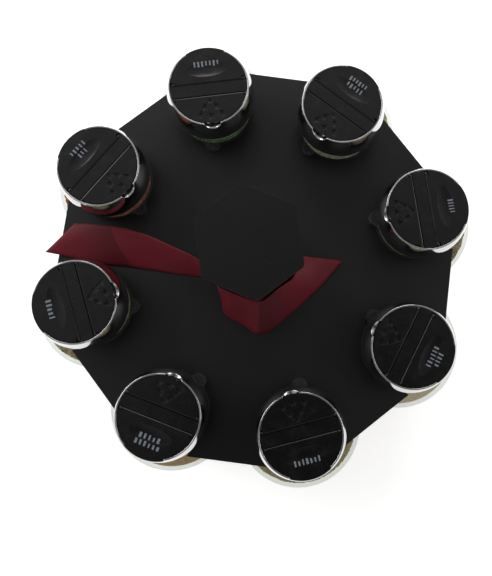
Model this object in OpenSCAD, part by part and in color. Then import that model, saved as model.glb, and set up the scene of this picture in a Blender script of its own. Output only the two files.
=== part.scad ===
// Spice carousel. Glass jars with two-flap shaker caps stand on a turning tray,
// each with its neck in a notch of an upper plate, round a six-sided column.
// Millimetres, +Z up. The origin is on the turning axis at table level.

/* [Jars] */
// Number of jars, and of sides of the tray and the upper plate
jar_count = 8; // [6:1:8]
// Outside diameter of a jar's body
jar_d = 68; // [56:0.5:80]
// Gap between neighbouring jars
jar_gap = 1.65; // [1:0.05:12]
// Height of a jar's body, up to its shoulder
body_h = 71; // [50:1:95]
// Wall of a jar's body
jar_wall = 2.5; // [1.8:0.1:3.5]
// Thickness of a jar's bottom
jar_bottom = 4; // [2:0.5:8]
// Radius of the rounded shoulder
shoulder_r = 6; // [5:0.5:10]
// Outside diameter of a jar's neck
neck_d = 39; // [32:0.5:46]
// Wall of a jar's neck
neck_wall = 1.8; // [1.4:0.1:2.4]
// How far a jar is filled below its inner shoulder
fill_drop = 1.5; // [1:0.5:30]

/* [Caps] */
// Height of a cap
cap_h = 16; // [14:0.5:22]
// Wall of the black closure's sleeve
sleeve_wall = 1.2; // [1:0.1:1.8]
// Wall of the bright ring at its skirt
ring_wall = 1.9; // [1.4:0.1:2.6]
// Thickness of the deck with the openings
deck_t = 2; // [1.4:0.1:2.4]
// Thickness of a flap
flap_t = 1.6; // [1.4:0.1:2]
// Distance from the cap's middle to the bar's edge at the sifting flap
bar_in = 4.8; // [3:0.1:6]
// Distance from the cap's middle to the bar's edge at the pouring flap
bar_out = 1.4; // [0.5:0.1:3]
// Diameter of a sifting hole
sift_hole_d = 3; // [2:0.1:3.6]
// Width of the finger dish in the pouring flap
dish_w = 22; // [14:0.5:24]
// Length of the finger dish, outward from the column
dish_l = 8; // [5:0.5:9]

/* [Stand] */
// Distance from a jar's axis to the plate's corner outside it
corner_reach = 24.3; // [20:0.1:30]
// Thickness of the upper plate
plate_t = 6; // [4:0.5:10]
// Gap from a jar's shoulder up to the plate
plate_gap = 1.8; // [1:0.1:8]
// Radius of the column to its corners, above the plate
column_r = 22; // [16:0.5:26]
// Width of the shoulder on which the plate rests
column_step = 4; // [2:0.5:8]
// Radius of the hole through the column
column_bore_r = 10; // [9:0.5:11]
// Height from the cap tops to the underside of the knob
knob_rise = 30.4; // [10:0.2:60]
// Radius of the knob to its corners
knob_r = 25.6; // [23:0.2:34]
// Thickness of the knob
knob_t = 12; // [8:0.5:25]
// Height of a neck clip
clip_h = 3; // [2:0.5:5]

/* [Turntable] */
// Diameter of the base plate
base_d = 150; // [136:1:180]
// Thickness of the base plate
base_t = 6; // [5.5:0.5:10]
// Height of a rubber foot
foot_h = 3; // [2:0.5:8]
// Diameter of a bearing ball
ball_d = 8; // [5:0.5:8]
// Radius of the circle of balls
ball_circle_r = 50; // [44:1:54]
// Thickness of the tray's deck
tray_t = 6; // [5:0.5:12]
// Depth of the seats in the tray
seat_depth = 2; // [1:0.5:3]

/* [Ribbon] */
// Width of the ribbon
ribbon_w = 22; // [12:1:24]
// Thickness of the ribbon's stand-in solid
ribbon_t = 0.8; // [0.5:0.1:1.5]

/* [Hidden] */
$fn = 96;
eps = 0.01;

// Turn of each cap from facing straight outward, as the jars happen to stand
cap_turns = [-7, -7, -8, -10, 2, 9, -1, 3];

// Clearances
run_gap = 0.05;         // a turning or sliding fit
seat_gap = 0.1;         // a piece set in a recess
jar_seat_gap = 0.4;     // round a jar's foot in the tray
neck_notch_gap = 1;     // round a jar's neck in the plate
cap_gap = 0.3;          // a cap's sleeve on the neck
flap_gap = 0.2;         // under a flap
hinge_gap = 0.15;       // behind a flap's rounded end
flap_side_gap = 0.3;    // round a flap's outer edge

// Plan
step = 360 / jar_count;
jar_r = jar_d / 2;
neck_r = neck_d / 2;
bore_r = neck_r - neck_wall;
ring_circle = (jar_d + jar_gap) / (2 * sin(step / 2));
plate_r = ring_circle + corner_reach;
notch_r = neck_r + neck_notch_gap;

// Turntable heights
race_seat = 1;
race_gap = 1;
race_floor = 1.5;
race_t = ball_d / 2 - race_gap / 2 + race_floor + 0.5;
race_w = ball_d + 12;
base_top = foot_h + base_t;
lower_race_z = base_top - race_seat;
ball_z = lower_race_z + race_t + race_gap / 2;
upper_race_z = ball_z + race_gap / 2;
boss_z = upper_race_z + race_t - race_seat;
boss_h = 6;
boss_r = ball_circle_r + race_w / 2 + 2;
tray_z = boss_z + boss_h;
seat_z = tray_z + tray_t - seat_depth;
ball_pitch = ball_d + 0.25;
ball_count = floor(180 / asin(ball_pitch / (2 * ball_circle_r)));

// Rivet on which the tray turns
rivet_r = 5;
rivet_head_r = 8.5;
rivet_head_h = 2.6;
rivet_sink = 0.4;

// Feet
foot_r = 7;
foot_circle = base_d / 2 - foot_r - 6;
foot_stem_r = 2.5;
foot_stem_h = 3;

// Jar heights, above the bottom of the jar
foot_round = 2;
neck_fillet = 2;
plate_z = body_h + plate_gap;
bead_z = plate_z + plate_t + clip_h + 2.2;
bead_h = 4;
bead_out = 2;
cap_z = bead_z + bead_h + 4;
cap_top = cap_z + cap_h;
deck_z = cap_h - flap_t - flap_gap - deck_t;
neck_top = cap_z + deck_z - flap_gap;
inner_shoulder = body_h - jar_wall;
fill_top = inner_shoulder - fill_drop;
fill_gap = 0.2;

// Cap
sleeve_in = neck_r + cap_gap;
sleeve_out = sleeve_in + sleeve_wall;
ring_in = sleeve_out + seat_gap;
ring_out = ring_in + ring_wall;
top_r = sleeve_out - 1;
ring_lip = 0.7;
ring_top_r = top_r + seat_gap + ring_lip;
flare_h = 10;
sleeve_rise = 0.4;
flap_r = top_r - flap_side_gap;
flap_z = cap_h - flap_t / 2;
hinge_in = bar_in + hinge_gap + flap_t / 2;
hinge_out = bar_out + hinge_gap + flap_t / 2;
ear_t = 1.4;
ear_out = flap_r - 0.7;
ear_in = ear_out - ear_t;
pin_r = 0.45;
pin_end = ear_out - 0.4;
scallop_r = 4.6;
scallop_rise = 1.6;
lip_w = top_r;
lip_r = ring_top_r;
pour_r = bore_r - 1.7;
pour_from = hinge_out + 2.6;
plug_gap = 0.6;
plug_h = 0.6;
dish_depth = 0.4;
dish_x = 9;
dimple_r = 1.2;
dimple_depth = 0.35;
pip_r = sift_hole_d / 2 - 0.4;
// Sifting holes as [distance from the cap's middle, angle]: rows of 3, 2 and 1
sift_outer = bore_r - sift_hole_d / 2;
sift_holes = [
    for (a = [-20, 0, 20]) [sift_outer, a],
    for (a = [-15.5, 15.5]) [sift_outer - 4.6, a],
    [sift_outer - 8.4, 0]
];

// Stand, above the table
plate_abs = seat_z + plate_z;
plate_top = plate_abs + plate_t;
knob_z = seat_z + cap_top + knob_rise;
knob_turn = 45;
spigot_h = 14;
column_foot_r = column_r + column_step;

// Neck clips, in the jar's own frame with +X outward
clip_in = neck_r + 0.4;
clip_wall = 2;
tab_r = 4.2;
tab_angle = 164;
tab_d = neck_r + 2.4;
peg_d = neck_r + 3.8;
peg_r = 1.6;
peg_h = 4;

// Ribbon
ribbon_gap = 0.4;
ribbon_z = plate_top + ribbon_gap;
loop_r = column_r + 0.55;
knot_w = 12;
knot_d = 10;
tail_start = column_r - 0.5;
tail_len = 89;
tail_turn = 177;
tail_side = -6;
tail_lift = 0.5;
stand_h = 16;
stand_route = [[-21, -21], [4, -31], [29, -14], [44, 4]];

jar_ids = [for (i = [1 : jar_count]) str(i)];
jar_pieces = ["glass_", "spice_", "cap_ring_", "cap_insert_", "pour_flap_", "sift_flap_"];

// Flat polygon with the corners outside the jars
module stand_outline(r) {
    rotate(step / 2)
        circle(r = r, $fn = jar_count);
}

// Six-sided outline of the column and the knob
module hex_outline(r) {
    rotate(knob_turn)
        circle(r = r, $fn = 6);
}

// Puts its children at every jar's axis, with +X outward
module at_jars() {
    for (i = [0 : jar_count - 1])
        rotate(step * (i + 0.5))
            translate([ring_circle, 0, 0])
                children();
}

// Puts its children at one jar's axis, standing on the tray, with +X outward
module at_jar(i) {
    rotate(step * (i + 0.5))
        translate([ring_circle, 0, seat_z])
            children();
}

// The same for a cap, turned as its jar happens to stand
module at_cap(i) {
    at_jar(i)
        translate([0, 0, cap_z])
            rotate(cap_turns[i])
                children();
}

// Slot that is open outward: half round at the jar's axis
module slot_outline(r) {
    circle(r = r);
    translate([0, -r])
        square([2 * plate_r, 2 * r]);
}

module rubber_feet() {
    color("dimgray")
        for (a = [45 : 90 : 315])
            rotate(a)
                translate([foot_circle, 0, 0]) {
                    cylinder(r = foot_r, h = foot_h);
                    cylinder(r = foot_stem_r, h = foot_h + foot_stem_h);
                }
}

module base_plate() {
    color("black")
        difference() {
            translate([0, 0, foot_h])
                cylinder(d = base_d, h = base_t, $fn = 180);
            translate([0, 0, lower_race_z])
                race_blank(seat_gap);
            translate([0, 0, foot_h - eps])
                cylinder(r = rivet_head_r + seat_gap, h = rivet_sink + rivet_head_h + eps);
            cylinder(r = rivet_r + run_gap / 2, h = base_top + 1);
            for (a = [45 : 90 : 315])
                rotate(a)
                    translate([foot_circle, 0, foot_h - eps])
                        cylinder(r = foot_stem_r, h = foot_stem_h + 0.5);
        }
}

// Plain ring in which a groove is cut
module race_blank(gap = 0) {
    rotate_extrude($fn = 180)
        translate([ball_circle_r - race_w / 2 - gap, 0])
            square([race_w + 2 * gap, race_t]);
}

module ball_groove() {
    translate([0, 0, ball_z])
        rotate_extrude($fn = 180)
            translate([ball_circle_r, 0])
                circle(r = ball_d / 2 + run_gap);
}

module lower_race() {
    color("silver")
        difference() {
            translate([0, 0, lower_race_z])
                race_blank();
            ball_groove();
        }
}

module upper_race() {
    color("silver")
        difference() {
            translate([0, 0, upper_race_z])
                race_blank();
            ball_groove();
        }
}

module bearing_balls() {
    color("lightgray")
        for (i = [0 : ball_count - 1])
            rotate(i * 360 / ball_count)
                translate([ball_circle_r, 0, ball_z])
                    sphere(d = ball_d, $fn = 48);
}

module pivot_rivet() {
    color("silver") {
        translate([0, 0, foot_h + rivet_sink])
            cylinder(r = rivet_head_r, h = rivet_head_h);
        translate([0, 0, foot_h + rivet_sink])
            cylinder(r = rivet_r, h = seat_z + flap_gap + eps - foot_h - rivet_sink);
        translate([0, 0, seat_z + flap_gap])
            cylinder(r = rivet_head_r, h = rivet_head_h);
    }
}

module tray() {
    color("black")
        difference() {
            union() {
                translate([0, 0, tray_z])
                    linear_extrude(tray_t)
                        stand_outline(plate_r);
                translate([0, 0, boss_z])
                    cylinder(r = boss_r, h = boss_h + eps, $fn = 180);
            }
            translate([0, 0, boss_z + race_seat - race_t])
                race_blank(seat_gap);
            cylinder(r = rivet_r + run_gap, h = seat_z + 1);
            translate([0, 0, seat_z]) {
                linear_extrude(seat_depth + 1)
                    hex_outline(column_foot_r + seat_gap);
                at_jars()
                    linear_extrude(seat_depth + 1)
                        slot_outline(jar_r + jar_seat_gap);
            }
        }
}

module column() {
    color("black")
        difference() {
            union() {
                translate([0, 0, seat_z])
                    linear_extrude(plate_abs - seat_z)
                        hex_outline(column_foot_r);
                translate([0, 0, seat_z])
                    linear_extrude(knob_z - seat_z)
                        hex_outline(column_r);
            }
            translate([0, 0, seat_z - 1])
                cylinder(r = column_bore_r, h = knob_z - seat_z + 2);
        }
}

module top_plate() {
    color("black")
        difference() {
            translate([0, 0, plate_abs])
                linear_extrude(plate_t)
                    stand_outline(plate_r);
            translate([0, 0, plate_abs - 1]) {
                linear_extrude(plate_t + 2)
                    hex_outline(column_r + seat_gap);
                at_jars()
                    linear_extrude(plate_t + 2)
                        slot_outline(notch_r);
            }
            translate([0, 0, plate_top - peg_h - 0.5])
                at_jars()
                    rotate(tab_angle)
                        translate([peg_d, 0, 0])
                            cylinder(r = peg_r + run_gap, h = peg_h + 1);
        }
}

module knob() {
    color("black") {
        translate([0, 0, knob_z])
            linear_extrude(knob_t)
                hex_outline(knob_r);
        translate([0, 0, knob_z - spigot_h])
            cylinder(r = column_bore_r - run_gap, h = spigot_h + eps);
    }
}

// Clear half ring behind each neck, with a tab whose peg goes into the plate
module neck_clips() {
    color("white", 0.5)
        translate([0, 0, plate_top])
            at_jars() {
                difference() {
                    union() {
                        cylinder(r = clip_in + clip_wall, h = clip_h);
                        rotate(tab_angle)
                            translate([tab_d, 0, 0])
                                cylinder(r = tab_r, h = clip_h);
                    }
                    translate([0, 0, -1])
                        cylinder(r = clip_in, h = clip_h + 2);
                    translate([0, -2 * clip_in, -1])
                        cube([4 * clip_in, 4 * clip_in, clip_h + 2]);
                }
                rotate(tab_angle)
                    translate([peg_d, 0, -peg_h])
                        cylinder(r = peg_r, h = peg_h + eps);
            }
}

// Seen from above: the loop, the knot and the tail that stands on its edge
module ribbon_outline() {
    difference() {
        hex_outline(loop_r + ribbon_t);
        hex_outline(loop_r);
    }
    rotate(knob_turn + 180)
        translate([loop_r + 0.2, -knot_w / 2])
            square([knot_d, knot_w]);
    for (i = [0 : len(stand_route) - 2]) {
        a = stand_route[i];
        b = stand_route[i + 1];
        translate(a)
            rotate(atan2(b[1] - a[1], b[0] - a[0]))
                translate([0, -ribbon_t / 2])
                    square([norm(b - a) + ribbon_t / 4, ribbon_t]);
    }
}

// Ribbon tied round the foot of the column: loop, knot and two tails
module ribbon() {
    color("maroon") {
        translate([0, 0, ribbon_z])
            linear_extrude(stand_h)
                ribbon_outline();
        translate([0, tail_side, ribbon_z + tail_lift])
            rotate(tail_turn)
                translate([tail_start, -ribbon_w / 2, 0])
                    cube([tail_len, ribbon_w, ribbon_t]);
    }
}

// Half section of a jar, as a solid one
module jar_outline(r, bottom, shoulder, round_r, low_r) {
    translate([0, bottom])
        square([r - low_r, low_r + eps]);
    translate([r - low_r, bottom + low_r])
        circle(r = low_r);
    translate([0, bottom + low_r])
        square([r, shoulder - round_r - bottom - low_r]);
    translate([0, bottom + low_r])
        square([r - round_r, shoulder - bottom - low_r]);
    translate([r - round_r, shoulder - round_r])
        circle(r = round_r);
}

module glass(i) {
    color("white", 0.4)
        at_jar(i)
            rotate_extrude($fn = 128)
                difference() {
                    union() {
                        jar_outline(jar_r, 0, body_h, shoulder_r, foot_round);
                        square([neck_r, neck_top]);
                        difference() {
                            translate([0, body_h - eps])
                                square([neck_r + neck_fillet, neck_fillet + eps]);
                            translate([neck_r + neck_fillet, body_h + neck_fillet])
                                circle(r = neck_fillet);
                        }
                        translate([0, bead_z + bead_out])
                            square([neck_r, eps]);
                        translate([neck_r, bead_z + bead_h / 2])
                            circle(r = bead_out);
                    }
                    jar_outline(jar_r - jar_wall, jar_bottom, inner_shoulder,
                        shoulder_r - jar_wall, foot_round);
                    translate([0, jar_bottom + foot_round])
                        square([bore_r, neck_top]);
                }
}

module spice(i) {
    color("peru")
        at_jar(i)
            rotate_extrude($fn = 128)
                intersection() {
                    jar_outline(jar_r - jar_wall - fill_gap, jar_bottom + fill_gap,
                        inner_shoulder - fill_gap, shoulder_r - jar_wall - fill_gap,
                        foot_round - fill_gap);
                    square([jar_r, fill_top]);
                }
}

// Bright ring: a straight skirt that draws in to a thin lip at the top. The lip is cut
// away under the pouring flap, and scooped for a fingernail at the sifting flap.
module cap_ring(i) {
    flare = [for (t = [0 : 0.125 : 1])
        [ring_top_r + (ring_out - ring_top_r) * sin(90 * t), cap_h - flare_h * t]];
    color("silver")
        at_cap(i)
            difference() {
                rotate_extrude($fn = 128)
                    difference() {
                        polygon(concat([[top_r + seat_gap, cap_h]], flare,
                            [[ring_out, 0], [top_r + seat_gap, 0]]));
                        translate([0, -1])
                            square([ring_in, deck_z + flap_gap + 0.4 + 1]);
                    }
                translate([2 - top_r, 0, cap_h + scallop_rise])
                    rotate([0, -90, 0])
                        cylinder(r = scallop_r, h = 8);
                translate([0, -lip_w / 2 - flap_side_gap, cap_h - flap_t - flap_gap])
                    cube([ring_out, lip_w + 2 * flap_side_gap, flap_t + 1]);
            }
}

// Bearing for one end of a flap's pins, about a hinge line at distance x
module hinge_ear(x, side) {
    translate([x, side > 0 ? ear_in : -ear_out, 0])
        difference() {
            union() {
                translate([0, 0, flap_z])
                    rotate([-90, 0, 0])
                        cylinder(r = flap_t / 2, h = ear_t, $fn = 32);
                translate([-flap_t / 2, 0, deck_z + deck_t - eps])
                    cube([flap_t, ear_t, flap_z - deck_z - deck_t]);
            }
            translate([0, -1, flap_z])
                rotate([-90, 0, 0])
                    cylinder(r = pin_r + run_gap, h = ear_t + 2, $fn = 24);
        }
}

// Black closure: sleeve over the neck, deck with the openings, bar and hinge ears
module cap_insert(i) {
    color("black")
        at_cap(i) {
            difference() {
                union() {
                    translate([0, 0, sleeve_rise])
                        cylinder(r = sleeve_out, h = deck_z - sleeve_rise + 0.4);
                    translate([0, 0, deck_z])
                        cylinder(r = top_r, h = deck_t);
                }
                translate([0, 0, -1])
                    cylinder(r = sleeve_in, h = deck_z + 1);
                translate([0, 0, deck_z - 1])
                    linear_extrude(deck_t + 2)
                        intersection() {
                            circle(r = pour_r);
                            translate([pour_from, -pour_r])
                                square(2 * pour_r);
                        }
                for (h = sift_holes)
                    rotate(180 + h[1])
                        translate([h[0], 0, deck_z - 1])
                            cylinder(d = sift_hole_d, h = deck_t + 2, $fn = 32);
            }
            translate([0, 0, deck_z + deck_t - eps])
                linear_extrude(cap_h - deck_z - deck_t + eps)
                    intersection() {
                        circle(r = top_r);
                        translate([-bar_in, -top_r])
                            square([bar_in + bar_out, 2 * top_r]);
                    }
            for (side = [-1, 1]) {
                hinge_ear(hinge_out, side);
                hinge_ear(-hinge_in, side);
            }
        }
}

// Plain flap that reaches from a hinge line at distance x out to the rim along +X
module flap_blank(x) {
    difference() {
        translate([0, 0, flap_z - flap_t / 2])
            linear_extrude(flap_t)
                intersection() {
                    circle(r = flap_r);
                    translate([x, -flap_r])
                        square(2 * flap_r);
                }
        for (side = [-1, 1])
            translate([x - 1, side > 0 ? ear_in - flap_gap : -flap_r, flap_z - flap_t])
                cube([1 + flap_t / 2 + 2 * flap_gap, flap_r - ear_in + flap_gap, 2 * flap_t]);
    }
    translate([x, -ear_in + flap_gap, flap_z])
        rotate([-90, 0, 0])
            cylinder(r = flap_t / 2, h = 2 * (ear_in - flap_gap), $fn = 32);
    translate([x, -pin_end, flap_z])
        rotate([-90, 0, 0])
            cylinder(r = pin_r, h = 2 * pin_end, $fn = 24);
}

// Lemon-shaped cutter that leaves a shallow oval dish
module dish_cutter() {
    round_w = (dish_w * dish_w / 4 + dish_depth * dish_depth) / (2 * dish_depth);
    round_l = (dish_l * dish_l / 4 + dish_depth * dish_depth) / (2 * dish_depth);
    translate([dish_x, 0, cap_h - dish_depth + round_l])
        rotate([90, 0, 0])
            rotate_extrude($fn = 128)
                intersection() {
                    translate([round_l - round_w, 0])
                        circle(r = round_w, $fn = 360);
                    translate([0, -dish_w])
                        square([2 * round_l, 2 * dish_w]);
                }
}

module pour_flap(i) {
    color("black")
        at_cap(i) {
            difference() {
                union() {
                    flap_blank(hinge_out);
                    translate([0, 0, flap_z - flap_t / 2])
                        linear_extrude(flap_t)
                            intersection() {
                                circle(r = lip_r);
                                translate([0.75 * flap_r, -lip_w / 2])
                                    square([lip_r, lip_w]);
                            }
                }
                dish_cutter();
            }
            translate([0, 0, flap_z - flap_t / 2 - plug_h])
                linear_extrude(plug_h + eps)
                    intersection() {
                        circle(r = pour_r - plug_gap);
                        translate([pour_from + 2 * plug_gap, -pour_r])
                            square(2 * pour_r);
                    }
        }
}

module sift_flap(i) {
    color("black")
        at_cap(i)
            rotate(180) {
                difference() {
                    flap_blank(hinge_in);
                    for (h = sift_holes)
                        rotate(h[1])
                            translate([h[0], 0, cap_h - dimple_depth])
                                cylinder(r = dimple_r, h = 1, $fn = 32);
                }
                for (h = sift_holes)
                    rotate(h[1])
                        translate([h[0] + (h[0] < hinge_in + 3 ? 0.4 : 0), 0,
                                flap_z - flap_t / 2 - plug_h])
                            cylinder(r = h[0] < hinge_in + 3 ? pip_r - 0.3 : pip_r,
                                h = plug_h + eps, $fn = 32);
            }
}

rubber_feet();
base_plate();
lower_race();
bearing_balls();
pivot_rivet();
upper_race();
tray();
column();
top_plate();
knob();
neck_clips();
ribbon();
for (i = [0 : jar_count - 1]) {
    glass(i);
    spice(i);
    cap_ring(i);
    cap_insert(i);
    pour_flap(i);
    sift_flap(i);
}
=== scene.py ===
# %% [markdown]
# A turning spice rack: eight glass jars with shaker caps round a six-sided column, with a satin
# ribbon tied round its foot. The hard pieces come ready-made from the drawn frame, in metres, so
# the work here is finish: paint, moulded plastic, bright plating, glass, the spices and the
# ribbon. We load the frame first and keep its box, because nothing may grow past it.

# %% Load the frame
import math
import random
import bpy
from mathutils import Matrix, Vector, noise


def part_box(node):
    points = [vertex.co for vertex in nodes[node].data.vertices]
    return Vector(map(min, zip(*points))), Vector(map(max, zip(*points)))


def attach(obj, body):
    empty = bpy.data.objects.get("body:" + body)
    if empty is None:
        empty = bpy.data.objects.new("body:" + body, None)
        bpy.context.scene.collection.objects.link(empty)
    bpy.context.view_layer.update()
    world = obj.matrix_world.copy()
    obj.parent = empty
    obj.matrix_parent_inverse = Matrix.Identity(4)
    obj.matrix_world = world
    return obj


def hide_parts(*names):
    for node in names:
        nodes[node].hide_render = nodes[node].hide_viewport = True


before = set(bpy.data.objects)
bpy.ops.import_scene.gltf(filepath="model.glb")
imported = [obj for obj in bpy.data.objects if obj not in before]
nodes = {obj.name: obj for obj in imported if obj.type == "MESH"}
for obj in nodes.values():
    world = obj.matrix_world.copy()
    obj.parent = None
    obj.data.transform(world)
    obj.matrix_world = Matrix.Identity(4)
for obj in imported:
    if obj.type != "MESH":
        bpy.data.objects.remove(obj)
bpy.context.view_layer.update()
JARS = range(1, 9)
MM = 0.001

# %% [markdown]
# The rack is seen almost from straight above, a little from the front. The camera stands about
# 300 mm over the caps and is rolled a few degrees, as a hand-held one is. It is built from three
# turns: round the upright, down from the horizon, and the roll about its own line of sight.

# %% Camera
cap_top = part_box("cap_insert_1")[1].z
camera_data = bpy.data.cameras.new("camera")
camera_data.sensor_width = 36
camera_data.lens = 37.62
camera_data.shift_x = -0.0684
camera_data.shift_y = -0.0381
camera_data.clip_start = 0.01
camera = bpy.data.objects.new("camera", camera_data)
bpy.context.scene.collection.objects.link(camera)
camera.matrix_world = (
    Matrix.Translation((0.0176, -0.0394, cap_top + 0.2972))
    @ Matrix.Rotation(math.radians(1.56), 4, "Z")
    @ Matrix.Rotation(math.radians(90 - 83.09), 4, "X")
    @ Matrix.Rotation(math.radians(5.95), 4, "Z")
)
bpy.context.scene.camera = camera
print("camera at", [round(v, 3) for v in camera.location])

# %% [markdown]
# Shader sums read best as sums. The class below wraps one socket, so that `mask * 0.3 + 0.1`
# adds the Math nodes by itself, and `1 - mask` works as well. Colours and vectors go through
# Mix and Vector Math, because a Math node would turn a colour grey.

# %% Sockets that can be added up
class Flow:
    """One output socket of a finish, which sums can be written with."""

    def __init__(self, finish, socket):
        self.finish, self.socket = finish, socket

    def many(self):
        return self.socket.type in ("VECTOR", "RGBA")

    def sum(self, word, a, b):
        if self.many():
            made = self.finish.node("VectorMath", {"operation": word}, [a, b])
            return made["Vector"]
        return self.finish.node("Math", {"operation": word}, [a, b])["Value"]

    def __add__(self, other):
        return self.sum("ADD", self, other)

    def __radd__(self, other):
        return self.sum("ADD", other, self)

    def __sub__(self, other):
        return self.sum("SUBTRACT", self, other)

    def __rsub__(self, other):
        return self.sum("SUBTRACT", other, self)

    def __mul__(self, other):
        return self.sum("MULTIPLY", self, other)

    def __rmul__(self, other):
        return self.sum("MULTIPLY", other, self)

    def __pow__(self, other):
        return self.sum("POWER", self, other)

    def above(self, edge, width):
        """0 below edge, 1 above it, with a soft step of that width."""
        node = self.finish.node(
            "MapRange",
            {"interpolation_type": "SMOOTHSTEP"},
            {"Value": self, "From Min": edge - width / 2, "From Max": edge + width / 2},
        )
        return node["Result"]


class Finish:
    """A material, or a world, whose nodes are made by one method."""

    def __init__(self, name, world=False):
        self.material = (bpy.data.worlds if world else bpy.data.materials).new(name)
        self.material.use_nodes = True
        self.tree = self.material.node_tree
        self.tree.nodes.clear()

    def node(self, kind, settings=None, sockets=None):
        made = self.tree.nodes.new("ShaderNode" + kind)
        for key, value in (settings or {}).items():
            if key == "stops":
                ramp = made.color_ramp
                while len(ramp.elements) < len(value):
                    ramp.elements.new(0.5)
                for element, (place, colour) in zip(ramp.elements, value):
                    element.position = place
                    element.color = (*colour, 1)
            else:
                setattr(made, key, value)
        pairs = sockets.items() if isinstance(sockets, dict) else enumerate(sockets or [])
        for key, value in pairs:
            self.feed(made.inputs[key], value)
        return Outputs(self, made)

    def feed(self, socket, value):
        if isinstance(value, Flow):
            self.tree.links.new(value.socket, socket)
        elif socket.type == "RGBA" and len(value) == 3:
            socket.default_value = (*value, 1)
        elif socket.type == "VECTOR" and not hasattr(value, "__len__"):
            socket.default_value = (value, value, value)
        else:
            socket.default_value = value

    def place(self, scale=1.0):
        """Where a point is on its own piece, in metres times scale."""
        here = self.node("TexCoord")["Object"]
        return here * scale

    def grain(self, scale, detail=2.0, rough=0.5, where=None):
        """Cloudy noise from 0 to 1; scale is how many lumps to a metre."""
        sockets = {"Vector": where or self.place(), "Scale": scale, "Detail": detail}
        sockets["Roughness"] = rough
        return self.node("TexNoise", None, sockets)["Fac"]

    def blend(self, amount, a, b):
        """Colour a where amount is 0, colour b where it is 1."""
        made = self.node("Mix", {"data_type": "RGBA"})
        for index, value in ((0, amount), (6, a), (7, b)):
            self.feed(made.inner.inputs[index], value)
        return Flow(self, made.inner.outputs[2])

    def bump(self, height, depth, strength=1.0):
        """Relief: height from 0 to 1 stands for depth metres."""
        sockets = {"Height": height, "Distance": depth, "Strength": strength}
        return self.node("Bump", None, sockets)["Normal"]

    def close(self, shader):
        self.node("OutputMaterial", None, {"Surface": shader})
        return self.material

    def solid(self, **sockets):
        """The general surface shader, closed off as this finish."""
        named = {key.replace("_", " "): value for key, value in sockets.items()}
        return self.close(self.node("BsdfPrincipled", None, named)["BSDF"])


class Outputs:
    """A made node, whose outputs are asked for by name."""

    def __init__(self, finish, inner):
        self.finish, self.inner = finish, inner

    def __getitem__(self, name):
        return Flow(self.finish, self.inner.outputs[name])


print("shader tools ready")

# %% [markdown]
# The stand is painted black with a satin sheen. Paint is never one even black: it has a fine
# orange-peel relief, cloudy patches where it dried duller, and faint rubbed hairlines.

# %% Satin black paint
def satin_paint(name, base, dull=0.42, shine=0.36, lacquer=0.0):
    paint = Finish(name)
    cloud = paint.grain(22, 4)
    hair = paint.grain(1.0, 2, 0.6, paint.place((90, 2400, 600)))
    rubbed = hair.above(0.66, 0.05)
    dust = paint.grain(2600, 1).above(0.74, 0.04)
    colour = paint.blend(cloud * 0.6 + rubbed * 0.25, base, [c * 1.5 for c in base])
    colour = paint.blend(dust * 0.5, colour, (0.05, 0.05, 0.052))
    peel = paint.grain(900, 2)
    return paint.solid(
        Base_Color=colour,
        Roughness=cloud * 0.16 + rubbed * -0.08 + (dull - 0.08),
        Specular_IOR_Level=shine,
        Coat_Weight=lacquer,
        Coat_Roughness=0.22,
        Normal=paint.bump(peel, 0.00006, 0.35),
    )


stand_black = satin_paint("stand_satin_black", (0.0030, 0.0032, 0.0032))
knob_black = satin_paint("knob_satin_black", (0.0030, 0.0031, 0.0031), 0.46, 0.14, 0.35)
print("paint:", stand_black.name, knob_black.name)

# %% [markdown]
# The caps are glossy moulded plastic, handled every day: greasy smudges make the gloss uneven,
# and dust and fine wiping scratches show against the black.

# %% Glossy black closure plastic
def glossy_plastic(name, base, shine):
    gloss = Finish(name)
    smear = gloss.grain(140, 5, 0.62)
    wipe = gloss.grain(1.0, 3, 0.55, gloss.place((350, 5200, 900)))
    scratch = wipe.above(0.68, 0.04)
    speck = gloss.grain(3300, 1).above(0.75, 0.03)
    flow = gloss.grain(420, 2)
    return gloss.solid(
        Base_Color=gloss.blend(speck * 0.5 + scratch * 0.12, base, (0.10, 0.10, 0.10)),
        Roughness=smear.above(0.55, 0.3) * 0.12 + scratch * 0.1 + shine,
        Specular_IOR_Level=0.5,
        Normal=gloss.bump(flow + scratch * -0.3, 0.00004, 0.25),
    )


cap_black = glossy_plastic("cap_gloss_black", (0.0028, 0.0028, 0.0030), 0.15)
base_black = glossy_plastic("base_moulded_black", (0.012, 0.012, 0.013), 0.38)
print("plastic:", cap_black.name, base_black.name)

# %% [markdown]
# The rings are plastic with bright plating. Plating mirrors the room, with a faint haze of
# finger marks and a slow waviness from the moulding under it.

# %% Bright plating and steel
def bright_metal(name, colour, smooth, lines=0.0):
    metal = Finish(name)
    haze = metal.grain(120, 4, 0.6)
    wave = metal.grain(60, 1)
    fine = metal.grain(1.0, 2, 0.5, metal.place((200, 200, 9000)))
    relief = wave * 0.8 + fine * lines
    return metal.solid(
        Base_Color=metal.blend(haze, colour, [c * 0.86 for c in colour]),
        Metallic=1.0,
        Roughness=haze.above(0.6, 0.3) * 0.1 + smooth,
        Normal=metal.bump(relief, 0.00012, 0.3),
    )


ring_chrome = bright_metal("ring_bright_plating", (0.63, 0.63, 0.635), 0.05)
race_steel = bright_metal("race_pressed_steel", (0.55, 0.55, 0.56), 0.24, 0.5)
ball_steel = bright_metal("ball_polished_steel", (0.72, 0.72, 0.73), 0.06)
print("metal:", ring_chrome.name, race_steel.name, ball_steel.name)

# %% [markdown]
# Soft rubber feet are dull and grey-black, with a powdery bloom.

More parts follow.
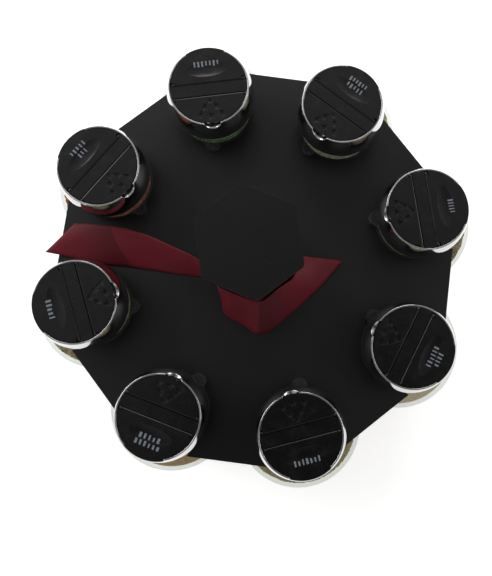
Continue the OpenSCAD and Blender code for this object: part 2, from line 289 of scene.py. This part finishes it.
# %% Rubber
rubber = Finish("foot_rubber")
bloom = rubber.grain(500, 4)
foot_rubber = rubber.solid(
    Base_Color=rubber.blend(bloom, (0.018, 0.018, 0.018), (0.06, 0.058, 0.055)),
    Roughness=bloom * 0.15 + 0.75,
    Normal=rubber.bump(rubber.grain(1800, 3), 0.00015, 0.5),
)

# %% [markdown]
# The jars and the clips are seen through. Their walls are thin, so light goes nearly straight on
# and only a gloss lies over it: faint face-on and strong where the wall is seen at a slant,
# which draws the bright fringe round a jar. Smears and a slow waviness keep it from being perfect.

# %% Glass and clear plastic
def see_through(name, through, body, least, rim):
    """Clear stuff: least is the gloss seen face-on, rim how much more there is at a slant."""
    clear = Finish(name)
    smear = clear.grain(160, 4, 0.6)
    shine = clear.node("BsdfPrincipled", None, {
        "Base Color": clear.blend(smear, body, [c * 0.8 for c in body]),
        "Roughness": smear * 0.08 + 0.03,
        "Specular IOR Level": 1.0,
        "Normal": clear.bump(clear.grain(45, 2), 0.0002, 0.2),
    })["BSDF"]
    straight = clear.node("BsdfTransparent", None, {"Color": through})["BSDF"]
    slant = clear.node("LayerWeight", None, {"Blend": 0.35})["Facing"]
    amount = slant ** 2.2 * rim + smear * 0.06 + least
    return clear.close(clear.node("MixShader", None, [amount, straight, shine])["Shader"])


jar_glass = see_through("jar_clear_glass", (0.90, 0.92, 0.90), (0.30, 0.33, 0.31), 0.02, 0.32)
clip_clear = see_through("clip_clear_plastic", (0.93, 0.94, 0.94), (0.075, 0.078, 0.08), 0.3, 0.4)
print("clear:", jar_glass.name, clip_clear.name)

# %% [markdown]
# Now the ready-made pieces get their finishes. A moulded or painted piece has no knife edges, so
# each one also gets a small bevel: first its doubled corner points are welded, then every edge
# sharper than 35 degrees is rounded, and the big faces keep their flatness.

# %% Dress the ready-made pieces
def dress(name, material, edge=0.0, rings=2):
    piece = nodes[name]
    piece.data.materials.clear()
    piece.data.materials.append(material)
    if edge:
        weld = piece.modifiers.new("weld", "WELD")
        weld.merge_threshold = 0.000002
        bevel = piece.modifiers.new("soft_edge", "BEVEL")
        bevel.width = edge
        bevel.segments = rings
        bevel.limit_method = "ANGLE"
        bevel.angle_limit = math.radians(35)
        bevel.harden_normals = False
        flat = piece.modifiers.new("flat_faces", "WEIGHTED_NORMAL")
        flat.keep_sharp = False
    return piece


dress("top_plate", stand_black, 0.0009, 3)
dress("tray", stand_black, 0.0007)
dress("column", stand_black, 0.0008)
dress("knob", knob_black, 0.0022, 4)
dress("base_plate", base_black, 0.0007)
dress("rubber_feet", foot_rubber, 0.0005)
dress("lower_race", race_steel, 0.0003)
dress("upper_race", race_steel, 0.0003)
dress("pivot_rivet", race_steel, 0.0004)
dress("bearing_balls", ball_steel)
dress("neck_clips", clip_clear, 0.0005, 3)
for k in JARS:
    dress(f"glass_{k}", jar_glass)
    dress(f"cap_ring_{k}", ring_chrome, 0.0002, 2)
    dress(f"cap_insert_{k}", cap_black, 0.0001, 2)
    dress(f"pour_flap_{k}", cap_black, 0.00012, 2)
    dress(f"sift_flap_{k}", cap_black, 0.00012, 2)
print("dressed", len(nodes), "pieces")

# %% [markdown]
# A new piece is a list of corner points and faces. This helper makes it with its material, rides
# it on its body and smooths its shading.

# %% Making a piece
def make_piece(name, points, faces, material, body, slot, smooth=True):
    mesh = bpy.data.meshes.new(name)
    mesh.from_pydata([tuple(p) for p in points], [], faces)
    mesh.materials.append(material)
    mesh.update()
    piece = bpy.data.objects.new(name, mesh)
    bpy.context.scene.collection.objects.link(piece)
    for face in mesh.polygons:
        face.use_smooth = smooth
    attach(piece, body)
    return piece


def jar_axis(k):
    """The middle of jar k's neck, seen from above."""
    low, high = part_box(f"glass_{k}")
    return Vector(((low.x + high.x) / 2, (low.y + high.y) / 2, 0))


print("jar 1 stands at", [round(v, 4) for v in jar_axis(1)])

# %% [markdown]
# What fills the jars is seen through the shoulders: a heap of loose flakes, leaf or grains. Each
# filling is a lumpy turned body with a slightly mounded top, and pieces of the spice scattered
# over it: flat curled flakes, or small grains. Each finish glows a little in its own colour, a
# painted glow, and darkens towards the gaps between its bits, painted shade. One list says how
# each spice looks.

# %% Spice finishes
def spice_finish_with_painted_glow(name, dark, middle, light, size):
    spice = Finish(name)
    cells = spice.node(
        "TexVoronoi", {"feature": "F1"}, {"Vector": spice.place(), "Scale": 1 / size}
    )
    tone = spice.node("SeparateColor", None, {"Color": cells["Color"]})["Red"]
    ramp = spice.node(
        "ValToRGB",
        {"stops": [(0.0, dark), (0.45, middle), (1.0, light)]},
        {"Fac": tone * 0.75 + spice.grain(0.7 / size, 3) * 0.3},
    )["Color"]
    gap_shade_and_relief = cells["Distance"] * (0.9 / size)
    # Painted shade: the colour darkens towards the gaps between the bits.
    colour = spice.blend(gap_shade_and_relief.above(0.75, 0.5) * 0.6, ramp, [c * 0.5 for c in dark])
    return spice.solid(
        Base_Color=colour,
        # Emission gives each filling a painted glow in its own colour, though it is no lamp.
        Emission_Color=colour,
        Emission_Strength=0.5,
        Roughness=tone * 0.2 + 0.68,
        Normal=spice.bump(1 - gap_shade_and_relief, size * 0.6, 0.9),
    )


# name, dark, middle, light, size of a bit in mm, how long a flake is for its width, count
SPICES = [
    ("basil", (0.16, 0.10, 0.05), (0.38, 0.26, 0.13), (0.60, 0.47, 0.27), 2.2, 1.8, 520),
    ("onion", (0.50, 0.44, 0.26), (0.74, 0.68, 0.46), (0.90, 0.85, 0.66), 2.6, 1.4, 420),
    ("parsley", (0.07, 0.12, 0.03), (0.17, 0.27, 0.07), (0.34, 0.44, 0.17), 2.4, 1.5, 520),
    ("chili", (0.30, 0.03, 0.01), (0.62, 0.10, 0.03), (0.90, 0.52, 0.20), 2.3, 1.3, 480),
    ("thyme", (0.24, 0.18, 0.07), (0.54, 0.43, 0.22), (0.76, 0.65, 0.40), 1.7, 2.6, 620),
    ("cumin", (0.38, 0.24, 0.11), (0.62, 0.42, 0.21), (0.78, 0.58, 0.34), 0.7, 1.0, 700),
    ("oregano", (0.24, 0.18, 0.08), (0.48, 0.39, 0.20), (0.72, 0.60, 0.36), 2.0, 1.7, 560),
    ("salt", (0.72, 0.52, 0.36), (0.90, 0.72, 0.54), (0.97, 0.90, 0.78), 0.8, 1.0, 800),
]
spice_looks = {
    k: spice_finish_with_painted_glow("filling_" + row[0], *row[1:4], row[4] * MM)
    for k, row in zip(JARS, SPICES)
}
print("spices:", ", ".join(row[0] for row in SPICES))

# %% [markdown]
# The heap: rings of points from the bottom up the glass, in under the shoulder and over the top,
# each pushed about by noise so the outline is lumpy. Here and there a lump just touches the
# glass, as loose spice does. It fills the same room as the drawn filling.

# %% Outline of a filling
SHOULDER = 3.3 * MM   # rounding of the drawn filling under the jar's shoulder
BELOW_ROUND = 2 * MM  # how far the rounding's middle lies below the filling's top
TOUCH = 0.45 * MM     # the spice is pressed against the glass


def heap_outline(radius, low, high):
    """Radius and height of each ring, from the bottom's edge to the middle of the top."""
    rings = [(radius - 2 * MM, low)]
    straight = high - BELOW_ROUND
    for i in range(12):
        rings.append((radius, low + 2 * MM + (straight - low - 2 * MM) * i / 11))
    for degrees in (12, 24, 36):
        turn = math.radians(degrees)
        rings.append((radius - SHOULDER * (1 - math.cos(turn)),
                      straight + SHOULDER * math.sin(turn) * 0.97))
    for i in range(11):
        t = 1 - i / 10
        rings.append((max((radius - 1.1 * MM) * t, 0.6 * MM), high - 0.5 * MM * t * t))
    return rings


def heap_body(k, row, radius, low, high):
    """Points and faces of the lumpy body, round the upright through the origin."""
    size, around = row[4] * MM, 72
    lump = min(size * 0.4, 0.5 * MM)
    points, faces = [], []
    rings = heap_outline(radius, low, high)
    for r, z in rings:
        for j in range(around):
            a = 2 * math.pi * j / around
            p = Vector((r * math.cos(a), r * math.sin(a), z))
            push = lump * noise.noise(p * (0.6 / size) + Vector((k * 7, 0, 0)))
            share = (r - 0.2 * lump + 0.7 * push) / r if r > 2 * MM else 1
            points.append(Vector((p.x * share, p.y * share, z + push * (r < radius - 2 * MM))))
    for i in range(len(rings) - 1):
        for j in range(around):
            a, b = i * around + j, i * around + (j + 1) % around
            faces.append((a, b, b + around, a + around))
    faces.append(tuple(reversed(range(around))))
    faces.append(tuple((len(rings) - 1) * around + j for j in range(around)))
    return points, faces


print("rings of a filling:", len(heap_outline(29.8 * MM, 33 * MM, 94 * MM)))

# %% [markdown]
# Over the body go the loose bits: thin six-sided flakes with a slight curl. On the top they lie
# flat, at the glass they stand against it, and under the shoulder they lean.

# %% Spice heaps
def one_flake(draw, wide, slim, spot, turn):
    """Points and faces of a flake at a spot, turned to lie along its surface."""
    points, faces, sides = [], [], 6
    curl = wide * draw.uniform(-0.2, 0.2)
    for layer in (-0.12, 0.12):
        for j in range(sides):
            b = 2 * math.pi * (j + draw.uniform(-0.2, 0.2)) / sides
            p = Vector((slim * wide * math.cos(b) * 0.8, wide * math.sin(b) * 0.8,
                        layer * wide + curl * math.cos(b) ** 2))
            points.append(spot + turn @ p)
    for j in range(sides):
        n = (j + 1) % sides
        faces.append((j, n, sides + n, sides + j))
    faces.append(tuple(reversed(range(sides))))
    faces.append(tuple(range(sides, 2 * sides)))
    return points, faces


def heap(k, row):
    """Points and faces of a filling with its loose bits."""
    size, slim, count = row[4] * MM, row[5], row[6]
    low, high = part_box(f"spice_{k}")
    middle = jar_axis(k)
    radius = (high.x - low.x) / 2 + TOUCH
    draw = random.Random(40 + k)
    points, faces = heap_body(k, row, radius, low.z, high.z)
    for _ in range(count):
        a = draw.uniform(0, 2 * math.pi)
        spin = Matrix.Rotation(draw.uniform(0, 6.283), 3, "Z")
        lean = math.radians(draw.uniform(-14, 14))
        where = draw.random()
        if where < 0.4:
            r = (radius - 1.4 * MM) * math.sqrt(draw.random())
            z = high.z - 0.25 * MM
        elif where < 0.6:
            tilt = math.radians(draw.uniform(5, 36))
            r = radius - SHOULDER * (1 - math.cos(tilt)) - 0.15 * MM
            z = high.z - BELOW_ROUND + SHOULDER * math.sin(tilt) - 0.1 * MM
            lean += math.pi / 2 - tilt
        else:
            r = radius - 0.1 * MM
            z = draw.uniform(low.z + 0.003, high.z - 0.004)
            lean += math.pi / 2
        turn = Matrix.Rotation(a, 3, "Z") @ Matrix.Rotation(lean, 3, "Y") @ spin
        spot = Vector((r * math.cos(a), r * math.sin(a), z))
        wide = size * draw.uniform(0.25, 0.5)
        bit, sides = one_flake(draw, wide, slim, spot, turn)
        first = len(points)
        for p in bit:
            flat = math.hypot(p.x, p.y)
            limit = radius + 0.15 * MM
            if flat > limit:
                p.x, p.y = p.x * limit / flat, p.y * limit / flat
            p.z = min(p.z, high.z + 0.6 * MM)
        points += bit
        faces += [tuple(first + n for n in face) for face in sides]
    return [p + middle for p in points], faces


for k, row in zip(JARS, SPICES):
    filling = make_piece(
        f"filling_{row[0]}", *heap(k, row), spice_looks[k], f"jar_{k}", f"spice_{k}"
    )
    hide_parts(f"spice_{k}")
    print(filling.name, len(filling.data.vertices), "points")

# %% [markdown]
# Each pouring flap carries a small pale print in and beside its finger dish. Instead of words it
# gets a plain row of short bars, one row or two. The bars follow the dish a hair above it.

# %% Pale print
ink = Finish("label_pale_ink")
worn = ink.grain(2400, 3)
pale_ink = ink.solid(
    Base_Color=ink.blend(worn.above(0.55, 0.25) * 0.8, (0.17, 0.195, 0.225), (0.05, 0.056, 0.065)),
    Roughness=worn * 0.2 + 0.35,
    Normal=ink.bump(worn, 0.00003, 0.4),
)

DISH_WIDE, DISH_LONG, DISH_DEEP, DISH_AT = 22 * MM, 8 * MM, 0.4 * MM, 9 * MM
CAP_TURNS = [-7, -7, -8, -10, 2, 9, -1, 3]
# rows of each print, from the middle outward: how many bars, and the row's length in mm
PRINT_ROWS = {
    1: [(5, 7.4)], 2: [(5, 10.2), (6, 11)], 3: [(7, 14)], 4: [(3, 6), (5, 10.5)],
    5: [(5, 10.4)], 6: [(5, 11.6), (6, 13.6)], 7: [(7, 13.8)], 8: [(6, 11.4), (4, 7.6)],
}
round_wide = (DISH_WIDE ** 2 / 4 + DISH_DEEP ** 2) / (2 * DISH_DEEP)
round_long = (DISH_LONG ** 2 / 4 + DISH_DEEP ** 2) / (2 * DISH_DEEP)


def dish_height(x, y, top):
    """Height of the flap's face at x outward from the cap's middle and y across."""
    rise = round_long - (round_wide - math.sqrt(round_wide ** 2 - y * y))
    inside = rise ** 2 - (x - DISH_AT) ** 2
    if inside <= 0:
        return top
    return min(top, top - DISH_DEEP + round_long - math.sqrt(inside))


def print_bars(rows, draw):
    """Corners of each bar: (inner edge, outer edge, one side, other side), in metres."""
    bars = []
    for line, (count, length) in enumerate(rows):
        tall = 2.7 if len(rows) == 1 else 2.5
        inner = 12.1 - tall / 2 + (line - (len(rows) - 1) / 2) * 3.3
        pitch = length / count
        for n in range(count):
            side = (n - count / 2 + 0.5) * pitch
            wide = pitch * draw.choice((0.36, 0.44, 0.54))
            trim = draw.choice((0, 0, 0.5))
            bars.append([v * MM for v in (inner + trim, inner + tall,
                                          side - wide / 2, side + wide / 2)])
    return bars


def print_marks(k):
    """Points and faces of the bars on cap k, each a small patch of 4 by 2 faces."""
    points, faces = [], []
    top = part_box(f"pour_flap_{k}")[1].z
    middle = jar_axis(k)
    facing = math.atan2(middle.y, middle.x) + math.radians(CAP_TURNS[k - 1])
    out = Vector((math.cos(facing), math.sin(facing), 0))
    across = Vector((-out.y, out.x, 0))
    for inner, outer, left, right in print_bars(PRINT_ROWS[k], random.Random(k)):
        first = len(points)
        for i in range(5):
            for j in range(3):
                px = inner + (outer - inner) * i / 4
                py = left + (right - left) * j / 2
                p = middle + out * px + across * py
                p.z = dish_height(px, py, top) + 0.03 * MM
                points.append(p)
        for i in range(4):
            for j in range(2):
                a = first + 3 * i + j
                faces.append((a, a + 3, a + 4, a + 1))
    return points, faces


for k in JARS:
    make_piece(
        f"print_{k}", *print_marks(k), pale_ink, f"pour_flap_{k}", "cap_black", False
    )
print("printed", len(PRINT_ROWS), "flaps")

# %% [markdown]
# The ribbon is satin: long glossy threads one way. Its colour is blended by noise between a shaded
# and a lit tone, painted shine in broad streaks. Sheen lights its edges. The weave runs with the
# ribbon, so each strip of it carries its own map of length and width. A tail carries painted shade
# just past its fold, which clears from there.

# %% Satin
def satin(name, shade, lit, fold=None, slant=0.0, clears=0.02):
    """Fold and clears are metres along the strip, where the painted shade past the fold starts and
    clears; slant tilts the fold's line across it.
    """
    cloth = Finish(name)
    strip = cloth.node("UVMap", {"uv_map": "strip"})["UV"]
    threads = cloth.grain(1.0, 2, 0.6, strip * (500, 9000, 1))
    picks = cloth.grain(1.0, 1, 0.5, strip * (6000, 1200, 1))
    soft = cloth.grain(1.0, 3, 0.5, strip * (60, 90, 1))
    # Painted shine: noise blends a shaded and a lit tone of the satin into broad streaks.
    colour = cloth.blend(soft * 0.7 + threads * 0.3, shade, lit)
    if fold:
        past = cloth.node("VectorMath", {"operation": "DOT_PRODUCT"}, [strip, (1, slant, 0)])
        past = past["Value"] - fold
        # Painted shade just past the fold, clearing along the strip.
        dark = past.above(0.0, 0.0016) * (1 - past.above(clears / 2, clears))
        colour = cloth.blend(dark * 0.75, colour, [c * 0.55 for c in shade])
    return cloth.solid(
        Base_Color=colour,
        Roughness=threads * 0.2 + 0.42,
        Specular_IOR_Level=0.16,
        Sheen_Weight=0.12,
        Sheen_Roughness=0.4,
        Sheen_Tint=(0.7, 0.1, 0.2),
        Normal=cloth.bump(threads * 0.7 + picks * 0.3, 0.00008, 0.5),
    )


ribbon_satin = satin("ribbon_burgundy_satin", (0.10, 0.0075, 0.013), (0.16, 0.012, 0.022))
# The left tail's satin carries painted shade just past its fold.
left_fold_shaded_satin = satin("ribbon_left_satin", (0.105, 0.0075, 0.013), (0.165, 0.012, 0.022),
                   0.062, 0.95, 0.034)
# The right tail's satin is a darker copy: painted shade over the whole right tail, with painted
# shade past its fold too.
right_shaded_satin = satin("ribbon_right_satin", (0.078, 0.0055, 0.0095), (0.13, 0.0095, 0.017),
                    0.037, 0.0, 0.03)
print("satin:", ribbon_satin.name, left_fold_shaded_satin.name, right_shaded_satin.name)

# %% [markdown]
# Each stretch of ribbon is a strip between two edge lines. The edges are a few points each with
# a smooth curve through them, so a strip can lie, lean and gather as the real one does. Where
# the ribbon is creased over a corner, two stretches share one line of points, and that line is
# marked sharp. Length and area are measured from the finished strip.

# %% Ribbon strips
RIBBON_WIDE = 22 * MM
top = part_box("top_plate")[1].z / MM


def smooth_line(knots, count):
    """Even points on a smooth curve through the knots."""
    knots = [Vector(p) * MM for p in knots]
    ends = [knots[0] * 2 - knots[1]] + knots + [knots[-1] * 2 - knots[-2]]
    line = []
    for i in range(count):
        t = i / (count - 1) * (len(knots) - 1)
        n = min(int(t), len(knots) - 2)
        t -= n
        a, b, c, d = ends[n : n + 4]
        line.append(
            0.5 * (2 * b + (c - a) * t + (2 * a - 5 * b + 4 * c - d) * t * t
                   + (3 * b - a - 3 * c + d) * t ** 3)
        )
    return line


def strip_mesh(name, stretches, pleat=None, closed=False, count=36, wide=12,
               cloth=ribbon_satin):
    """A thin strip. Each stretch is an upper and a lower edge line; pleat pushes its points."""
    rows, creases = [], []
    for upper, lower in stretches:
        pairs = list(zip(smooth_line(upper, count), smooth_line(lower, count)))
        if rows:
            creases.append(len(rows) - 1)
            pairs = pairs[1:]
        rows += pairs
    if closed:
        rows = rows[:-1]
    points, faces, across = [], [], wide + 1
    for i, (a, b) in enumerate(rows):
        for j in range(across):
            p = a.lerp(b, j / wide)
            points.append(p + pleat(p, i / len(rows), j / wide) if pleat else p)
    for i in range(len(rows) - (0 if closed else 1)):
        n = (i + 1) % len(rows)
        for j in range(wide):
            faces.append((i * across + j, i * across + j + 1, n * across + j + 1, n * across + j))
    piece = make_piece(name, points, faces, cloth, "turntable", "ribbon_satin")
    for edge in piece.data.edges:
        a, b = sorted(edge.vertices)
        if a // across in creases and b == a + 1:
            edge.use_edge_sharp = True
    middle = [points[i * across + wide // 2] for i in range(len(rows))]
    runs = [0.0]
    for a, b in zip(middle, middle[1:]):
        runs.append(runs[-1] + (b - a).length)
    layer = piece.data.uv_layers.new(name="strip")
    for corner in piece.data.loops:
        i, j = divmod(corner.vertex_index, across)
        layer.data[corner.index].uv = (runs[i], RIBBON_WIDE * j / wide)
    thick = piece.modifiers.new("cloth_thickness", "SOLIDIFY")
    thick.thickness = 0.00025
    thick.offset = 0
    area = sum(face.area for face in piece.data.polygons)
    print(name, "middle %.1f mm, area %.0f mm2" % (runs[-1] / MM, area / MM / MM),
          "creased at", [round(runs[row] / MM, 1) for row in creases])
    return piece, area


def lay():
    """Hides the drawn ribbon part."""
    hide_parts("ribbon")


print("ribbon lies on the plate at %.1f mm" % top)

# %% [markdown]
# The loop goes round the column's foot. It follows the six corners a little outside them, sinks
# to two thirds of its width where it is pulled into the knot, and carries soft pleats.

# %% Loop round the column
def corner(degrees, out, height):
    """A point beside the column: its direction, its distance out, its height on the plate."""
    turn = math.radians(degrees)
    return (out * math.cos(turn), out * math.sin(turn), top + height)


def loop_line(height, spare):
    """Once round the column: just outside each corner and each flat's middle."""
    line = []
    for n in range(13):
        degrees = 225 + 30 * n
        near = 1 - min(abs(degrees - 225), abs(degrees - 585)) / 180
        pulled = 4.5 * max(0.0, near) ** 4
        out = (22.6 if n % 2 == 0 else 19.9) + spare
        line.append(corner(degrees, out, height + (pulled if height < 5 else -pulled)))
    return line


def soft_pleats(p, along, across):
    """Pushes a point outward by up to 0.5 mm, in three pleats that fade round the column."""
    out = Vector((p.x, p.y, 0)).normalized()
    depth = 0.5 * MM * (0.5 + 0.5 * math.sin(6 * math.pi * across + 5 * along))
    return out * depth * (0.35 + 0.65 * abs(math.cos(math.pi * along)))


loop, loop_area = strip_mesh(
    "ribbon_loop", [(loop_line(18.5, 0), loop_line(0.6, 0))], soft_pleats, True, 145
)
lay()

# %% [markdown]
# The knot sits at the column's left side, under the knob: the ribbon wound once round itself
# into a short ridged roll. The tails come out of it.

# %% Knot
KNOT_TURN = 197
KNOT = Vector(corner(KNOT_TURN, 22.7, 10)) * MM


def roll_line(side):
    """Round the roll at one side of it, -1 to 1, as seen along the roll's own length."""
    turn = math.radians(KNOT_TURN)
    radial = Vector((math.cos(turn), math.sin(turn), 0))
    length = Vector((-radial.y, radial.x, 0))
    belly = 1 - 0.22 * side * side
    line = []
    for n in range(17):
        a = 2 * math.pi * n / 16
        p = KNOT + radial * (2.5 * MM * belly * math.cos(a)) + length * (4.6 * MM * side)
        line.append(tuple((p + Vector((0, 0, 6.2 * MM * belly * math.sin(a)))) / MM))
    return line


def knot_ridges(p, along, across):
    """Ridges that run round the roll."""
    out = (p - KNOT).normalized()
    return out * (0.35 * MM * math.sin(5 * math.pi * across + 2.5 * math.sin(4 * along)))


knot, knot_area = strip_mesh(
    "ribbon_knot", [(roll_line(-1), roll_line(1))], knot_ridges, True, 49, 20
)
lay()

# %% [markdown]
# The left tail leaves the knot standing on its edge, turns over until it lies flat, and ends in
# a slanting cut whose tip hangs over the plate's edge.

# %% Left tail
left_tail, left_area = strip_mesh("ribbon_left_tail", [(
    [(-23.0, -7.5, top + 14), (-27, -5.3, top + 16), (-33.1, -2.5, top + 15.5),
     (-44.7, 1.4, top + 13), (-56.3, 5.2, top + 11), (-64.8, 6.9, top + 9.5),
     (-73.4, 8.2, top + 8), (-87.4, 8.6, top + 5), (-100.3, 8.0, top + 2)],
    [(-23.2, -9.2, top + 7), (-26, -11.6, top + 3.5), (-31, -11.9, top + 1.2),
     (-42, -12.0, top + 0.8), (-55, -11.6, top + 0.8), (-69, -11.6, top + 0.8),
     (-80.7, -11.9, top + 0.8), (-97.6, -10.5, top + 1.5), (-112.6, -9.8, top + 4)],
)], count=72, cloth=left_fold_shaded_satin)
lay()

# %% [markdown]
# The right tail comes out of the knot, spreads down to the plate, and is creased over the
# column's front corner. Beyond the crease its lower edge lies on the plate and its upper edge
# leans on the column.

# %% Right tail
right_tail, right_area = strip_mesh("ribbon_right_tail", [
    (
        [(-21.4, -9, top + 13), (-17.0, -16.4, top + 14.5), (-11.8, -18.6, top + 16),
         (-5.8, -20.1, top + 16.4),
         (-0.6, -21.3, top + 16.2), (5.0, -22.0, top + 15.8)],
        [(-21.4, -9.4, top + 7), (-17.6, -17.2, top + 6), (-14.9, -23.5, top + 2.2),
         (-12.6, -29.9, top + 0.8),
         (-3.6, -33.9, top + 0.7), (5.6, -38.4, top + 0.7)],
    ),
    (
        [(5.0, -22.0, top + 15.8), (8, -19.6, top + 16.4), (12, -16.2, top + 16.8),
         (16.6, -11.8, top + 16.2), (20.4, -7.2, top + 14.2), (23.6, -0.6, top + 11),
         (25.2, 5.6, top + 8.5)],
        [(5.6, -38.4, top + 0.7), (8.8, -38.0, top + 0.7), (12.6, -35.9, top + 0.7),
         (21.3, -27.0, top + 0.7), (29.9, -16.9, top + 0.8), (38.2, -6.6, top + 1.0),
         (46.8, 6.9, top + 1.4)],
    ),
], cloth=right_shaded_satin)
lay()

# %% [markdown]
# The floor is a wide pale sheet. The light is a big soft room: large panels at the sides, and a
# surround that is dim straight overhead and brightens toward the walls, so black faces that
# look up stay black, with a soft grade toward the back, while the plating finds bright walls.

# %% Floor and lights
paper = Finish("floor_paper")
tooth = paper.grain(700, 3)
floor_white = paper.solid(
    Base_Color=paper.blend(tooth, (0.90, 0.90, 0.90), (0.93, 0.93, 0.93)),
    Emission_Color=(1.0, 1.0, 1.0),
    Emission_Strength=0.48,
    Roughness=tooth * 0.1 + 0.85,
    Normal=paper.bump(tooth, 0.0001, 0.2),
)
floor_mesh = bpy.data.meshes.new("floor")
edge = 6.0
floor_mesh.from_pydata(
    [(-edge, -edge, 0), (edge, -edge, 0), (edge, edge, 0), (-edge, edge, 0)],
    [], [(0, 1, 2, 3)],
)
floor_mesh.materials.append(floor_white)
floor = bpy.data.objects.new("floor", floor_mesh)
bpy.context.scene.collection.objects.link(floor)

room = Finish("studio", world=True)
dim_side = Vector((0.10, -0.20, 1)).normalized()
toward = room.node("VectorMath", {"operation": "DOT_PRODUCT"},
                   [room.node("TexCoord")["Generated"], tuple(dim_side)])["Value"]
grade = room.node(
    "ValToRGB",
    {"stops": [(0.0, (0.05,) * 3), (0.03, (0.12,) * 3), (0.08, (0.24,) * 3),
               (0.15, (0.36,) * 3), (0.45, (0.55,) * 3), (1.0, (0.75,) * 3)]},
    {"Fac": 1 - toward},
)["Color"]
surround = room.node("Background", None, {"Color": grade, "Strength": 1.0})["Background"]
room.node("OutputWorld", None, {"Surface": surround})
bpy.context.scene.world = room.material
bpy.context.scene.view_settings.view_transform = "Standard"


def panel(name, where, size, power):
    """A square soft light that faces the rack."""
    data = bpy.data.lights.new(name, "AREA")
    data.shape = "SQUARE"
    data.size = size
    data.energy = power
    lamp = bpy.data.objects.new(name, data)
    bpy.context.scene.collection.objects.link(lamp)
    lamp.location = where
    aim = Vector((0, 0, 0.08)) - Vector(where)
    lamp.rotation_euler = aim.to_track_quat("-Z", "Y").to_euler()
    return lamp


panel("window_left", (-1.7, 0.7, 1.1), 1.3, 22)
panel("window_right", (1.7, 0.3, 1.1), 1.2, 12)
panel("fill_back", (-0.2, 1.9, 1.3), 1.3, 16)
